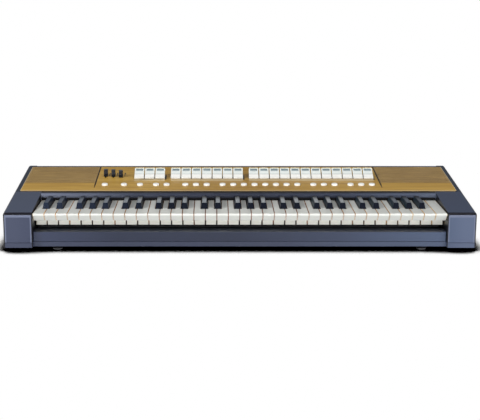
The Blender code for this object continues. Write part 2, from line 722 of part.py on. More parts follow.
def tab_bank_list():
    """Name and tab centres of each bank, from the right, with half a pitch between banks."""
    banks = []
    start = 0.0
    for name, count in TAB_BANKS:
        banks.append((name, [LAST_TAB_X - (start + number) * TAB_PITCH for number in range(count)]))
        start += count + BANK_SPACE
    return banks


def piston_centres(side):
    return [LAST_PISTON_X - place_x * PISTON_PITCH for place_x in PISTON_PLACES[side]]


def slider_centres():
    return {name: FIRST_SLIDER_X + index * SLIDER_PITCH for index, name in enumerate(SLIDER_REST)}


def sound_slots():
    """Middle and length of each sound slot on the right, in rows from the front of its area."""
    outer = PANEL_HALF - SOUND_MARGIN
    inner = PANEL_HALF - GROOVE_INSET + SOUND_MARGIN
    column = (outer - inner + SOUND_BRIDGE) / SOUND_COLUMNS
    row = (PANEL_LENGTH - SOUND_BACK_MARGIN - SOUND_FRONT) / (SOUND_ROWS - 1)
    return [(inner + (place_x + 0.5) * column - SOUND_BRIDGE / 2, SOUND_FRONT + number * row,
             column - SOUND_BRIDGE)
            for number in range(SOUND_ROWS) for place_x in range(SOUND_COLUMNS)]


def build_panel(frame):
    """Veneered panel: rounded front corners, two grooves, control cut-outs and sound slots."""
    wood = finish_material("wood_veneer", (0.42, 0.26, 0.11), 0.40)
    half, corner = PANEL_HALF, PANEL_CORNER
    outline = arc((half - corner, corner), corner, -90, 0, 4)
    outline += [(half, PANEL_LENGTH), (-half, PANEL_LENGTH)]
    outline += arc((-half + corner, corner), corner, 180, 270, 4)
    plate = prism_mesh("wood_panel", outline, -PANEL_THICKNESS, 0, "xy")
    deep = PANEL_THICKNESS * 2
    cuts = bmesh.new()
    for _, places in tab_bank_list():
        add_box(cuts, (places[-1] - TAB_WIDTH / 2 - SLIDING_GAP, TAB_MIDDLE - TAB_SLOT / 2, -deep),
                (places[0] + TAB_WIDTH / 2 + SLIDING_GAP, TAB_MIDDLE + TAB_SLOT / 2, deep))
    for side in PISTON_PLACES:
        for x in piston_centres(side):
            add_cylinder(cuts, PISTON_RADIUS + SLIDING_GAP, -deep, deep, (x, PISTON_ROW),
                         sides=PISTON_SIDES)
    for x in slider_centres().values():
        add_box(cuts, (x - SLIDER_STEM / 2 - SLIDING_GAP, SLIDER_SLOT_FRONT, -deep),
                (x + SLIDER_STEM / 2 + SLIDING_GAP, SLIDER_SLOT_FRONT + SLIDER_SLOT_LENGTH, deep))
    for side in (-1, 1):
        x = side * (half - GROOVE_INSET)
        add_box(cuts, (x - GROOVE_WIDTH / 2, GROOVE_FRONT, -GROOVE_DEPTH),
                (x + GROOVE_WIDTH / 2, PANEL_LENGTH + deep, deep))
        for across, along, length in sound_slots():
            add_box(cuts, (side * across - length / 2, along - SOUND_SLOT / 2, -deep),
                    (side * across + length / 2, along + SOUND_SLOT / 2, deep))
    mesh = carved("wood_panel", plate, ("DIFFERENCE", to_mesh(cuts, "panel_cuts")))
    place("wood_panel", mesh, wood, parent=frame)


def tab_profile():
    """Side view of a stop tab: scooped face, recessed band, rim, stem and foot round the shaft."""
    rise = TAB_THICKNESS
    rim_low = TAB_LENGTH - TAB_RIM
    band_low = rim_low - TAB_BAND
    face = [(0, 0), (0, rise), (TAB_LENGTH * TAB_CREASE, rise - TAB_RECESS), (band_low, rise)]
    face += [(band_low + TAB_RECESS, rise - TAB_RECESS), (rim_low, rise - TAB_RECESS)]
    face += [(rim_low + TAB_RECESS / 2, rise + TAB_RECESS), (TAB_LENGTH, rise + TAB_RECESS)]
    face += [(TAB_LENGTH, 0)]
    cos_tilt, sin_tilt = math.cos(TAB_TILT), math.sin(TAB_TILT)
    front = -TAB_LENGTH / 2 * cos_tilt
    lift = TAB_SHAFT_DROP + TAB_LIFT
    outline = [(front + u * cos_tilt - w * sin_tilt, lift + u * sin_tilt + w * cos_tilt)
               for u, w in face]
    stem = TAB_STEM / 2
    slope = math.tan(TAB_TILT)
    middle = lift + TAB_LENGTH / 2 * sin_tilt
    outline += [(stem, middle + stem * slope)]
    outline += arc((0, 0), TAB_STEM, 0, -180, 4)
    outline += [(-stem, middle - stem * slope)]
    return outline


def build_tab_banks(frame):
    """Three banks of rocker tabs, each bank on its own shaft."""
    white = finish_material("white_tab_plastic", (0.88, 0.88, 0.86), 0.30)
    for name, places in tab_bank_list():
        tabs = bmesh.new()
        for x in places:
            add_prism(tabs, tab_profile(), x - TAB_WIDTH / 2, x + TAB_WIDTH / 2)
        shaft = bmesh.new()
        add_cylinder(shaft, TAB_SHAFT_RADIUS, places[-1] - TAB_WIDTH / 2 - SHAFT_REACH,
                     places[0] + TAB_WIDTH / 2 + SHAFT_REACH, (0, 0), "X", 12)
        mesh = carved("stop_bank_" + name, to_mesh(tabs, "tabs"), ("UNION", to_mesh(shaft, "shaft")))
        mesh = chamfered(mesh, tab_corner, TAB_CORNER, 2)
        place("stop_bank_" + name, mesh, white, (0, TAB_MIDDLE, -TAB_SHAFT_DROP), frame)


def tab_corner(edge):
    """The two corners at the free upper end of a tab, seen along its face."""
    ends = [vertex.co for vertex in edge.verts]
    upper = TAB_SHAFT_DROP + TAB_LIFT + TAB_LENGTH * math.sin(TAB_TILT)
    along = (ends[0] - ends[1]).length
    across = abs(ends[0].x - ends[1].x)
    return across < 1e-6 and all(end.z > upper - 1e-5 for end in ends) and along > TAB_THICKNESS


def build_tab_rail(frame):
    """Steel rail under the panel with a saddle at each end of every shaft."""
    steel = finish_material("rail_steel", (0.50, 0.51, 0.52), 0.40, 0.9)
    shaft_z = -TAB_SHAFT_DROP
    bar_top = -RAIL_BAR_DROP
    edges = [place_x for _, places in tab_bank_list()
             for place_x in (places[0] + TAB_WIDTH / 2, places[-1] - TAB_WIDTH / 2)]
    bar = bmesh.new()
    add_box(bar, (min(edges) - SHAFT_REACH * 2, TAB_MIDDLE - SADDLE_HALF,
                  bar_top - RAIL_BAR_THICKNESS),
            (max(edges) + SHAFT_REACH * 2, TAB_MIDDLE + SADDLE_HALF, bar_top))
    hole = TAB_SHAFT_RADIUS + SEAT_GAP
    top = -PANEL_THICKNESS - SEAT_GAP
    low = bar_top - RAIL_BAR_THICKNESS / 2
    saddle = [(TAB_MIDDLE - SADDLE_HALF, low), (TAB_MIDDLE + SADDLE_HALF, low)]
    saddle += [(TAB_MIDDLE + SADDLE_HALF, top), (TAB_MIDDLE + hole, top)]
    saddle += arc((TAB_MIDDLE, shaft_z), hole, 0, -180, 6) + [(TAB_MIDDLE - hole, top)]
    saddle += [(TAB_MIDDLE - SADDLE_HALF, top)]
    saddles = bmesh.new()
    for _, places in tab_bank_list():
        for edge, away in ((places[0] + TAB_WIDTH / 2, 1), (places[-1] - TAB_WIDTH / 2, -1)):
            near, far = edge + away * KEY_GAP, edge + away * (KEY_GAP + SADDLE_THICKNESS)
            add_prism(saddles, saddle, min(near, far), max(near, far))
    mesh = carved("tab_rail", to_mesh(bar, "rail_bar"), ("UNION", to_mesh(saddles, "saddles")))
    place("tab_rail", mesh, steel, parent=frame)


def build_pistons(frame):
    """Two moulded strips of round preset buttons that press through the panel."""
    white = finish_material("white_button_plastic", (0.88, 0.88, 0.84), 0.28)
    strip_top = -PANEL_THICKNESS - PISTON_TRAVEL / 2
    for side in PISTON_PLACES:
        places = piston_centres(side)
        caps = bmesh.new()
        for x in places:
            add_cylinder(caps, PISTON_RADIUS, strip_top - STRIP_THICKNESS / 2, PISTON_HEIGHT,
                         (x, 0), sides=PISTON_SIDES)
        capped = chamfered(to_mesh(caps, "caps"), top_rim(PISTON_HEIGHT), PISTON_EDGE)
        strip = box_mesh("strip", (places[-1] - STRIP_HALF_DEPTH, -STRIP_HALF_DEPTH,
                                   strip_top - STRIP_THICKNESS),
                         (places[0] + STRIP_HALF_DEPTH, STRIP_HALF_DEPTH, strip_top))
        mesh = carved("piston_strip_" + side, strip, ("UNION", capped))
        place("piston_strip_" + side, mesh, white, (0, PISTON_ROW, 0), frame, smooth=True)


def build_sliders(frame):
    """Three slide controls: a waisted cap, a stem through the slot and a carriage below."""
    black = finish_material("black_cap_plastic", (0.03, 0.03, 0.035), 0.35)
    foot, crown = SLIDER_LENGTH / 2, SLIDER_TOP_LENGTH / 2
    waist, waist_height = foot * SLIDER_WAIST, SLIDER_HEIGHT * SLIDER_WAIST_HEIGHT
    cap = [(-foot, SLIDING_GAP), (foot, SLIDING_GAP), (waist, waist_height)]
    cap += [(crown, SLIDER_HEIGHT), (-crown, SLIDER_HEIGHT), (-waist, waist_height)]
    below = -PANEL_THICKNESS - SLIDING_GAP
    stem_half = SLIDER_STEM / 2
    for name, x in slider_centres().items():
        body = prism_mesh("cap", cap, -SLIDER_WIDTH / 2, SLIDER_WIDTH / 2)
        stem = box_mesh("stem", (-stem_half, -SLIDER_STEM_LENGTH / 2, below - CARRIAGE_HEIGHT / 2),
                        (stem_half, SLIDER_STEM_LENGTH / 2, SLIDER_HEIGHT / 2))
        carriage = box_mesh("carriage", (-CARRIAGE_WIDTH / 2, -CARRIAGE_LENGTH / 2,
                                         below - CARRIAGE_HEIGHT),
                            (CARRIAGE_WIDTH / 2, CARRIAGE_LENGTH / 2, below))
        mesh = carved("slider_" + name, body, ("UNION", stem), ("UNION", carriage))
        rest = SLIDER_SLOT_FRONT + SLIDER_REST[name]
        place("slider_" + name, mesh, black, (x, rest, 0), frame)


def build_speakers(frame):
    """Two loudspeakers hung under the panel, turned about their own axis."""
    grey = finish_material("speaker_black", (0.05, 0.05, 0.05), 0.6)
    top = -PANEL_THICKNESS - SEAT_GAP
    flange_low = top - SPEAKER_FLANGE
    magnet_top = top - SPEAKER_DEPTH + MAGNET_HEIGHT
    profile = [(SPEAKER_RADIUS, top), (SPEAKER_RADIUS, flange_low)]
    profile += [(CONE_RADIUS + CONE_WALL, flange_low), (MAGNET_RADIUS, magnet_top)]
    profile += [(MAGNET_RADIUS, top - SPEAKER_DEPTH), (0, top - SPEAKER_DEPTH)]
    inner = [(0, magnet_top + 2 * CONE_WALL), (COIL_RADIUS, magnet_top + CONE_WALL)]
    inner += [(CONE_RADIUS, top)]
    for name, side in (("left", -1), ("right", 1)):
        bm = bmesh.new()
        points = [bm.verts.new((radius, 0, height)) for radius, height in profile + inner]
        edges = [bm.edges.new(pair) for pair in zip(points, points[1:])]
        edges.append(bm.edges.new((points[-1], points[0])))
        bmesh.ops.spin(bm, geom=points + edges, cent=(0, 0, 0), axis=(0, 0, 1),
                       angle=math.tau, steps=SPEAKER_STEPS, use_duplicate=False)
        bmesh.ops.remove_doubles(bm, verts=bm.verts, dist=1e-5)
        place(name + "_speaker", to_mesh(bm, name + "_speaker"), grey,
              (side * (HALF_WIDTH - SPEAKER_INSET), SPEAKER_PLACE, 0), frame, smooth=True)


def build_main_board():
    """Tone generator and amplifier board on standoffs, its jacks and inlet facing the back wall."""
    green = finish_material("circuit_board", (0.05, 0.20, 0.10), 0.5)
    back = -FRONT_Y - BACK_INSET - BACK_WALL - PCB_BACK_GAP
    front = back - PCB_LENGTH
    low = BOARD_TOP + SEAT_GAP + STANDOFF
    half = PCB_WIDTH / 2
    top = low + PCB_THICKNESS
    board = box_mesh("main_board", (-half, front, low), (half, back, top))
    sink = PCB_THICKNESS / 2
    jack_z = BOARD_TOP + JACK_RISE
    fitted = bmesh.new()
    for x in (-half + STANDOFF_INSET, 0, half - STANDOFF_INSET):
        for y in (front + STANDOFF_FRONT, back - STANDOFF_BACK):
            add_cylinder(fitted, STANDOFF_RADIUS, BOARD_TOP + SEAT_GAP, low + sink, (x, y), sides=8)
    for x in JACK_XS:
        add_box(fitted, (x - JACK_BODY_HALF, back - JACK_BODY_LENGTH, top - sink),
                (x + JACK_BODY_HALF, back - SOCKET_EDGE, jack_z + JACK_BODY_RISE))
    add_box(fitted, (INLET_X - INLET_WIDTH / 2, back - INLET_LENGTH, top - sink),
            (INLET_X + INLET_WIDTH / 2, back - SOCKET_EDGE, jack_z + INLET_HEIGHT / 2))
    for number in range(CHIP_COUNT):
        x = CHIP_FIRST_X + number * CHIP_PITCH
        add_box(fitted, (x - CHIP_HALF_WIDTH, front + CHIP_FRONT, top - sink),
                (x + CHIP_HALF_WIDTH, front + CHIP_FRONT + CHIP_LENGTH, top + CHIP_HEIGHT))
    for x in CAPACITOR_XS:
        add_cylinder(fitted, CAPACITOR_RADIUS, top - sink, top + CAPACITOR_HEIGHT,
                     (x, front + CAPACITOR_FRONT), sides=10)
    barrels = bmesh.new()
    for x in JACK_XS:
        add_cylinder(barrels, JACK_RADIUS, back - JACK_BARREL, -FRONT_Y - BACK_INSET, (x, jack_z),
                     "Y", 12)
    mesh = carved("main_board", board, ("UNION", to_mesh(fitted, "fitted_parts")),
                  ("UNION", to_mesh(barrels, "jack_barrels")))
    place("main_board", mesh, green)


def build_organ():
    """Build every sub-part in the order of assembly."""
    global model, cutters
    clear_scene()
    model = new_collection("electronic_organ")
    cutters = new_collection("cutters")
    panel_frame = bpy.data.objects.new("panel_frame", None)
    model.objects.link(panel_frame)
    panel_frame.location = (0, FRONT_Y + PANEL_FRONT, top_height(PANEL_FRONT) + PANEL_PROUD)
    panel_frame.rotation_euler = (SLOPE_ANGLE, 0, 0)
    build_base()
    build_cheeks()
    build_front_rail()
    build_chassis()
    build_naturals()
    build_sharps()
    build_fallboard()
    build_main_board()
    build_panel(panel_frame)
    build_tab_rail(panel_frame)
    build_tab_banks(panel_frame)
    build_pistons(panel_frame)
    build_sliders(panel_frame)
    build_speakers(panel_frame)
    bpy.context.view_layer.update()


build_organ()
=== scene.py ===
"""Looks of the portable electronic organ, piece by piece, in the order in which it is put together."""
import math

import bmesh
import bpy
from mathutils import Matrix, Vector


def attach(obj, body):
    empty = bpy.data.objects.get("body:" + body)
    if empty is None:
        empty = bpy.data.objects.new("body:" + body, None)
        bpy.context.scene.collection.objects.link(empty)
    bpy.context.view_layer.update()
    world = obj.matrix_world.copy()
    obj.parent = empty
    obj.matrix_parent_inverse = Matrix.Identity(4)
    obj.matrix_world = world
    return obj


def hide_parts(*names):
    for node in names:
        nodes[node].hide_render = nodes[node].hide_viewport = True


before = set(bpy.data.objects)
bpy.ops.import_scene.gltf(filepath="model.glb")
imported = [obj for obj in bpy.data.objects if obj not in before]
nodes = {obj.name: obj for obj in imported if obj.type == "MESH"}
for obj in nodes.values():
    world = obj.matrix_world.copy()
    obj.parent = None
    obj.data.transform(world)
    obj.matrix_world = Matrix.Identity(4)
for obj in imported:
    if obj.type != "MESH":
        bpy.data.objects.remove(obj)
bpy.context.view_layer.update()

# The case: two end cheeks and the rail below the keys, of board sprayed with one dark blue-grey satin
# lacquer. They stand on the base board with a fine open seam, and are screwed to it from below.
CHEEK_INNER = 0.4245
HALF_WIDTH = 0.484
CHEEK_TOP = 0.0805
# Painted light: the fronts are lighter towards both ends and darkest in the middle, the tops lighter at the
# left.
FRONT_LIGHT_TONES = ((-0.46, (0.048, 0.059, 0.106)), (-0.40, (0.031, 0.041, 0.083)),
               (-0.25, (0.014, 0.020, 0.046)), (0.0, (0.015, 0.021, 0.046)),
               (0.20, (0.029, 0.040, 0.078)), (0.42, (0.062, 0.088, 0.155)),
               (0.46, (0.087, 0.114, 0.190)))
TOP_LIGHT_TONES = ((-0.42, (0.066, 0.083, 0.132)), (0.42, (0.047, 0.063, 0.110)))
# Painted shade: the strip of the cheeks' tops beside the panel is painted darker.
BESIDE_PANEL = (-0.027, 0.170)
BESIDE_PANEL_SHADE = (0.026, 0.036, 0.058)
# Painted shade: the rail's top, under the keys, is painted dark.
RAIL_TOP_SHADE = (0.038, 0.045, 0.066)
# Painted shade: the cheeks' inner walls beside the keys are painted near black.
INNER_WALL_SHADE = (0.006, 0.007, 0.012)
# Painted highlight: a pale line just inside the rounded edges of the cheeks' fronts.
HIGHLIGHT_LINE = (0.140, 0.163, 0.245)
# Painted shade and dark reflection: dark lines along the cheeks' front edges and their rounded outer edges.
EDGE_SHADE_LINE = (0.004, 0.004, 0.010)


class Shade:
    """A material's socket. Arithmetic on it adds Math nodes, and node() adds any other kind."""

    def __init__(self, tree, socket=None):
        self.tree = tree
        self.socket = socket

    def node(self, kind, settings=None, inputs=None, output=0):
        made = self.tree.nodes.new("ShaderNode" + kind)
        for name, value in (settings or {}).items():
            if name == "stops":
                stops = made.color_ramp.elements
                while len(stops) < len(value):
                    stops.new(1.0)
                for stop, (place, colour) in zip(stops, value):
                    stop.position = place
                    stop.color = (*colour, 1.0)
            else:
                setattr(made, name, value)
        for name, value in (inputs or {}).items():
            if isinstance(value, Shade):
                self.tree.links.new(value.socket, made.inputs[name])
            else:
                made.inputs[name].default_value = value
        return Shade(self.tree, made.outputs[output])

    def math(self, operation, first, second=0.0):
        return self.node("Math", {"operation": operation}, {0: first, 1: second})

    def __add__(self, other):
        return self.math("ADD", self, other)

    __radd__ = __add__

    def __sub__(self, other):
        return self.math("SUBTRACT", self, other)

    def __rsub__(self, other):
        return self.math("SUBTRACT", other, self)

    def __mul__(self, other):
        return self.math("MULTIPLY", self, other)

    __rmul__ = __mul__

    def __gt__(self, other):
        return self.math("GREATER_THAN", self, other)

    def __lt__(self, other):
        return self.math("LESS_THAN", self, other)

    def __abs__(self):
        return self.math("ABSOLUTE", self)


def new_finish(name, constants):
    """A material with these plain values on its shader, and a Shade to build its nodes from."""
    material = bpy.data.materials.new(name)
    material.use_nodes = True
    for socket, value in constants.items():
        material.node_tree.nodes["Principled BSDF"].inputs[socket].default_value = value
    return material, Shade(material.node_tree)


def feed(material, socket, shade):
    shader = material.node_tree.nodes["Principled BSDF"]
    material.node_tree.links.new(shade.socket, shader.inputs[socket])


def position(shade):
    """Position on the piece, in metres."""
    return shade.node("TexCoord", output="Object")


def facing(shade):
    """The way that the surface faces."""
    return shade.node("NewGeometry", output="Normal")


def part(vector, axis):
    """One part of a vector: X along the keyboard, Y towards the back, Z up."""
    return vector.node("SeparateXYZ", inputs={0: vector}, output=axis)


def parts(vector):
    return [part(vector, axis) for axis in "XYZ"]


def between(value, low, high):
    """One where a value lies between two limits, and zero elsewhere."""
    return (value > low) * (value < high)


def stretched(vector, scale):
    return vector.node("VectorMath", {"operation": "MULTIPLY"}, {0: vector, 1: scale})


def noise(vector, scale, detail=2.0, roughness=0.5):
    return vector.node("TexNoise", inputs={"Vector": vector, "Scale": scale, "Detail": detail,
                                           "Roughness": roughness})


def mixed(factor, first, second):
    """Colour between two others. Plain colours are given as three numbers."""
    inputs = {"Factor": factor}
    for name, colour in ((6, first), (7, second)):
        inputs[name] = colour if isinstance(colour, Shade) else (*colour, 1.0)
    return factor.node("Mix", {"data_type": "RGBA"}, inputs, output=2)


def tinted(colour, tone):
    """A colour multiplied by a tone."""
    return tone.node("Mix", {"data_type": "RGBA", "blend_type": "MULTIPLY"},
                     {"Factor": 1.0, 6: colour, 7: tone}, output=2)


def bumped(height, strength, distance):
    return height.node("Bump", inputs={"Height": height, "Strength": strength, "Distance": distance})


def dress(name, material, edge=0.0):
    """Give a solid its finish, and round its edges by that much where asked."""
    node = nodes[name]
    node.data.materials.clear()
    node.data.materials.append(material)
    if edge:
        weld = node.modifiers.new("weld", "WELD")
        weld.merge_threshold = 1e-5
        rounding = node.modifiers.new("edge", "BEVEL")
        rounding.width = edge
        rounding.segments = 2
        rounding.limit_method = "ANGLE"
        rounding.angle_limit = math.radians(28)
        rounding.harden_normals = True


def lacquer_finish(name):
    """Sprayed satin lacquer: slight drift of tone and gloss, and a fine orange peel."""
    material, start = new_finish(name, {"Specular IOR Level": 0.25, "Coat Weight": 0.20,
                                        "Coat Roughness": 0.10})
    vector = position(start)
    drift = noise(vector, 9.0, 4.0)
    feed(material, "Roughness", 0.36 + drift * 0.10)
    feed(material, "Normal", bumped(noise(vector, 900.0), 0.10, 0.0002))
    return material, mixed(drift, (0.86, 0.86, 0.86), (1.0, 1.0, 1.0)), vector


def along_case(x, tones):
    """Colour that changes from the left end of the case to the right, from (x, colour) pairs."""
    stops = [(0.5 + 0.5 * where / HALF_WIDTH, tone) for where, tone in tones]
    return x.node("ValToRGB", {"stops": stops}, {"Fac": x * (0.5 / HALF_WIDTH) + 0.5})


def cheek_border(z, out, top, outer, inner):
    """Above 0.5 within these distances of a cheek's top, outer and inner edges."""
    return (z > CHEEK_TOP - top) + (out > HALF_WIDTH - outer) + (out < CHEEK_INNER + inner)


case_lacquer, tone, vector = lacquer_finish("case_lacquer")
x, y, z = parts(vector)
sideways, backwards, upwards = parts(facing(tone))
out = abs(x)
on_cheek = out > CHEEK_INNER - 0.0005
# Painted light: front faces and tops take separate tones, each changing along the case.
front_tone = along_case(x, FRONT_LIGHT_TONES)
top_tone = mixed(between(y, *BESIDE_PANEL), along_case(x, TOP_LIGHT_TONES), BESIDE_PANEL_SHADE)
lacquer = mixed(backwards < -0.96, top_tone, front_tone)
# Painted shade on the rail's top under the keys.
lacquer = mixed((upwards > 0.5) * (1.0 - on_cheek), lacquer, RAIL_TOP_SHADE)
cheek_front = on_cheek * (backwards < -0.16)
# Painted highlight along the cheeks' front edges.
cheek_highlight = cheek_front * (cheek_border(z, out, 0.0088, 0.0060, 0.0040) > 0.5)
# Painted shade and dark reflection at the very edges of the cheeks' fronts.
cheek_edge_shade = cheek_front * (cheek_border(z, out, 0.0040, 0.0033, 0.0018) > 0.5)
lacquer = mixed(cheek_highlight, lacquer, HIGHLIGHT_LINE)
# Painted shade on the cheeks' inner walls.
shaded_inner_wall = (abs(sideways) > 0.7) * (out < CHEEK_INNER + 0.002) * on_cheek
lacquer = mixed(shaded_inner_wall, lacquer, INNER_WALL_SHADE)
# Painted shade on the rounded outer edges, which turn away from the light.
shaded_outer_turn = (abs(sideways) > 0.25) * (upwards > 0.12)
lacquer = mixed((cheek_edge_shade + shaded_outer_turn) > 0.5, lacquer, EDGE_SHADE_LINE)
feed(case_lacquer, "Base Color", tinted(lacquer, tone))
for name in ("left_cheek", "right_cheek", "front_rail"):
    dress(name, case_lacquer, 0.0008)

# The base board: a flat board in the same lacquer, with the back wall on its rear edge. Its tones are
# painted light, lighter towards both ends, with painted shade in dark lines at its ends and below the
# cheeks' inner edges. Four black rubber feet are plugged into it from below, each with a painted
# highlight, a paler rim just above the floor.
BOARD_BOTTOM = 0.008
FOOT_RIM_HIGHLIGHT = (0.0010, 0.0026)
BOARD_EDGE_LIGHT_TONES = ((-0.46, (0.043, 0.053, 0.096)), (-0.25, (0.030, 0.038, 0.074)),
              (0.10, (0.034, 0.043, 0.080)), (0.42, (0.063, 0.085, 0.146)),
              (0.46, (0.083, 0.108, 0.177)))
board_finish, tone, vector = lacquer_finish("board_lacquer")
x, y, z = parts(vector)
out = abs(x)
# Painted shade: dark lines on the front edge at the ends and below the cheeks' inner edges.
line = ((out > HALF_WIDTH - 0.0033) + (abs(out - CHEEK_INNER) < 0.0016)) > 0.5
edge_tone = mixed(line * (y < -0.170), along_case(x, BOARD_EDGE_LIGHT_TONES), EDGE_SHADE_LINE)
# Painted highlight: a paler rim on each foot just above the floor.
rubber = mixed(between(z, *FOOT_RIM_HIGHLIGHT), (0.008, 0.008, 0.009), (0.13, 0.13, 0.14))
feed(board_finish, "Base Color", mixed(z < BOARD_BOTTOM - 0.0001, tinted(edge_tone, tone), rubber))
dress("base_case", board_finish, 0.0006)

# The natural keys: injection-moulded off-white plastic with a slanting front lip and a skirt below
# it, polished on top. Where their sides face one another they carry painted shade in warm brown,
# pale orange towards the ends of the keyboard and darkest in the middle, and their skirts are painted
# lighter than their tops as painted light. Each turns on the keybed's front fulcrum ridge.
KEY_PITCH = 0.0235
SKIRT_TOP = 0.0622
# Painted shade where the keys face one another, in tones that change along the keyboard.
GAP_SHADE_MARGIN = 0.0010
GAP_SHADE_TONES = ((-0.42, (0.90, 0.58, 0.28)), (-0.20, (0.62, 0.36, 0.20)), (0.0, (0.48, 0.22, 0.15)),
              (0.22, (0.66, 0.40, 0.22)), (0.42, (0.92, 0.66, 0.32)))
ivory, start = new_finish("ivory_plastic", {"Specular IOR Level": 0.4, "Roughness": 0.20})
vector = position(start)
x = part(vector, "X")
drift = noise(vector, 30.0, 3.0)
top_colour = mixed(drift, (0.72, 0.73, 0.69), (0.76, 0.77, 0.73))
# Painted light: the skirts are painted lighter than the tops, against the shade under the lips.
lightened_skirt_colour = mixed(drift, (0.93, 0.93, 0.84), (0.97, 0.97, 0.89))
shown = mixed(part(vector, "Z") < SKIRT_TOP, top_colour, lightened_skirt_colour)
from_boundary = x.math("PINGPONG", x * (1 / KEY_PITCH), 0.5) * KEY_PITCH
# Painted shade: warm brown on the keys' sides and along their edges.
shaded_side = ((abs(part(facing(start), "X")) > 0.15) + (from_boundary < GAP_SHADE_MARGIN)) > 0.5
feed(ivory, "Base Color", mixed(shaded_side, shown, along_case(x, GAP_SHADE_TONES)))
for name in nodes:
    if name.startswith("key_"):
        dress(name, ivory, 0.0006)

# The sharps: black plastic caps with raked ends, five of an octave on one moulded comb that turns on
# the rear fulcrum ridge. Their tops carry a painted sheen, pale grey towards the front and brightest
# in the middle of the keyboard. The leftmost caps and the left faces of those to the right are
# painted lighter blue-grey, as painted light.
SHEEN_PART = (-0.0940, -0.0600)
# Painted light: the leftmost caps are painted lighter blue, the rest near black.
CAP_LIGHT_TONES = ((-0.42, (0.019, 0.028, 0.052)), (-0.15, (0.003, 0.005, 0.012)),
             (0.42, (0.003, 0.005, 0.012)))
# Painted sheen: pale grey in the middle of the keyboard, dimmer towards both ends.
SHEEN_TONES = ((-0.42, (0.055, 0.072, 0.110)), (-0.20, (0.280, 0.310, 0.340)),
                (0.20, (0.330, 0.355, 0.375)), (0.34, (0.120, 0.140, 0.170)),
                (0.42, (0.040, 0.052, 0.075)))


def ramp(value, start, end, low=0.0, high=1.0):
    """Goes from low to high while a value goes from start to end."""
    return value.node("MapRange", inputs={0: value, 1: start, 2: end, 3: low, 4: high})


ebony, start = new_finish("ebony_plastic", {"Specular IOR Level": 0.1})
vector = position(start)
normal = facing(start)
x = part(vector, "X")
mottle = noise(vector, 120.0, 3.0)
# Painted light on the left faces of the caps to the right of the middle.
lit_left_face = (part(normal, "X") < -0.7) * (x > 0.12)
# Painted sheen on the level tops, fading out towards the back.
sheen = ramp(part(vector, "Y"), *SHEEN_PART, 1.0, 0.0) * (part(normal, "Z") > 0.985)
dull = mixed(mottle * 0.4, along_case(x, CAP_LIGHT_TONES), (0.008, 0.011, 0.022))
dull = mixed(lit_left_face, dull, (0.017, 0.029, 0.041))
feed(ebony, "Base Color", mixed(sheen, dull, along_case(x, SHEEN_TONES)))
feed(ebony, "Roughness", 0.30 + mottle * 0.08)
for name in nodes:
    if name.startswith("sharps_"):
        dress(name, ebony, 0.0006)

# The keybed under the keys: a steel pressing with two fulcrum ridges, in satin black paint. It is
# fixed to the base board.
black_steel, start = new_finish("black_steel", {"Specular IOR Level": 0.3})
coat = noise(position(start), 300.0, 3.0)
feed(black_steel, "Base Color", mixed(coat, (0.016, 0.017, 0.020), (0.026, 0.027, 0.031)))
feed(black_steel, "Roughness", 0.45 + coat * 0.15)
dress("keybed_chassis", black_steel)

# The rail that carries the tab shafts, under the panel: folded steel sheet, zinc-plated, with a faint
# spangle.
zinc, start = new_finish("zinc_steel", {"Metallic": 0.9})
spangle = noise(position(start), 60.0, 3.0)
feed(zinc, "Base Color", mixed(spangle, (0.42, 0.43, 0.44), (0.58, 0.59, 0.60)))
feed(zinc, "Roughness", 0.32 + spangle * 0.15)
dress("tab_rail", zinc)

# The fallboard: a moulded plastic strip that closes the case behind the keys, in the case's colour
# and a little smoother. Its tones are painted light, lighter towards both ends and darkest in the
# middle, and its top, in the shade of the panel's edge, is painted near black as painted shade.
SHADED_TOP = 0.0945
FALLBOARD_LIGHT_TONES = ((-0.42, (0.165, 0.185, 0.255)), (-0.22, (0.046, 0.054, 0.083)),
                   (0.0, (0.026, 0.030, 0.050)), (0.22, (0.036, 0.044, 0.072)),
                   (0.42, (0.100, 0.120, 0.175)))
moulded, start = new_finish("fallboard_plastic", {"Specular IOR Level": 0.12})
vector = position(start)
flow = noise(stretched(vector, (4.0, 60.0, 60.0)), 1.0, 3.0)
moulded_tone = mixed(flow * 0.25, along_case(part(vector, "X"), FALLBOARD_LIGHT_TONES), (0.03, 0.035, 0.06))
# Painted shade: the top of the fallboard is painted near black.
moulded_tone = mixed(part(vector, "Z") > SHADED_TOP, moulded_tone, (0.008, 0.009, 0.014))
feed(moulded, "Base Color", moulded_tone)
feed(moulded, "Roughness", 0.30 + flow * 0.08)
dress("fallboard", moulded, 0.0006)

# The control panel: a veneered board, golden brown, laid on the case's slope with its grain along the
# keyboard. It is cut out for the controls, and each end has fine slots over a loudspeaker, beyond a
# shallow groove.
PANEL_ORIGIN = Vector((0, -0.025, 0.0965))
PANEL_TILT = math.atan(0.1)
PANEL_HALF = 0.472
GROOVE_X = PANEL_HALF - 0.158
GROOVE_HALF = 0.0015
GROOVE_START = 0.040
SOUND_LINE = 0.0600
CUT_DEPTH = 0.0004
SLIDERS = {"slider_left": -0.2958, "slider_middle": -0.2788, "slider_right": -0.2618}
# Painted shadow: a dark wedge on the veneer beside each slide control, where its cap casts its shadow.
WEDGE_PLACE = (0.110, 0.136)
WEDGE_HALF = (0.0005, 0.0016)
WEDGE_OFFSET = 0.0080
CAP_SHADOW_TONE = (0.040, 0.028, 0.018)
TAB_PITCH = 0.02327
TAB_WIDTH = 0.0213
TAB_FRONT = 0.0862
LAST_TAB_X = PANEL_HALF - 0.1798
TAB_BANKS = {"stop_bank_right": (0, 12), "stop_bank_middle": (12.5, 7), "stop_bank_left": (20, 3)}
# Painted reflection: a pale strip on the veneer in front of each bank of tabs.
TAB_REFLECTION_PLACE = (0.0730, 0.0850)
